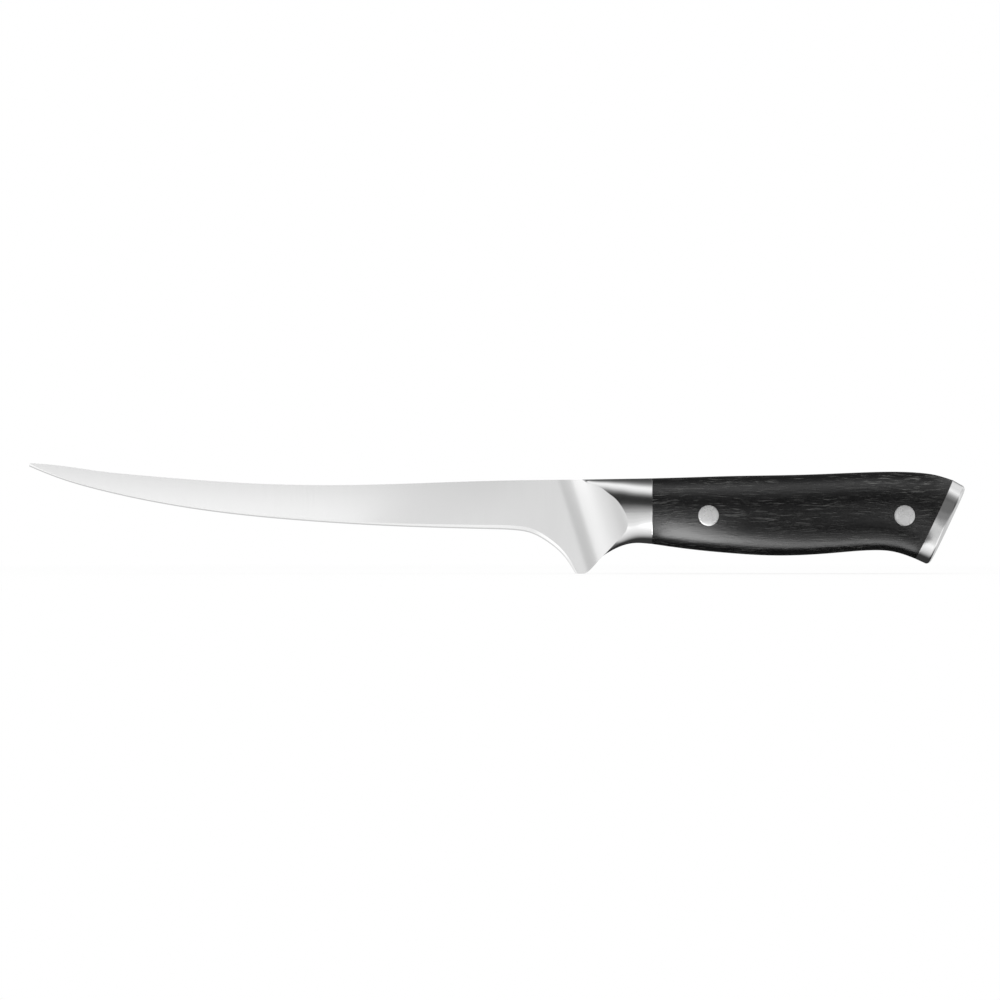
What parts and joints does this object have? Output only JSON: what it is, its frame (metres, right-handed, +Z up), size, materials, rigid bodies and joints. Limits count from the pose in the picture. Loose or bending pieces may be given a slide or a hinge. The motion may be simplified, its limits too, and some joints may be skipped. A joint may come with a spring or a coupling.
{
  "type": "fillet knife",
  "caption": "Fillet knife with a long, thin, upswept blade, an oval bolster ground into it, a full tang between black wooden scales, flush rivets and a raked steel end cap.",
  "frame": {"origin": "on the surface that the heel stands on, below the middle of the knife's length and thickness", "axes": "+X along the knife from the tip to the butt, +Y through its thickness from the left side to the right, +Z up from the edge to the spine"},
  "size_m": [0.3048, 0.0194, 0.0361],
  "materials": {
    "blade_steel": "satin ground blade, polished bolster",
    "black_wood": "dense black laminated wood, satin, fine lengthwise grain",
    "cap_steel": "polished",
    "rivet_steel": "satin, ground flush"
  },
  "bodies": {
    "root": {"forged_blade": "blade_steel", "left_scale": "black_wood", "right_scale": "black_wood", "end_cap": "cap_steel", "front_rivet_tube": "rivet_steel", "front_rivet_pin": "rivet_steel", "rear_rivet_tube": "rivet_steel", "rear_rivet_pin": "rivet_steel"}
  },
  "joints": []
}
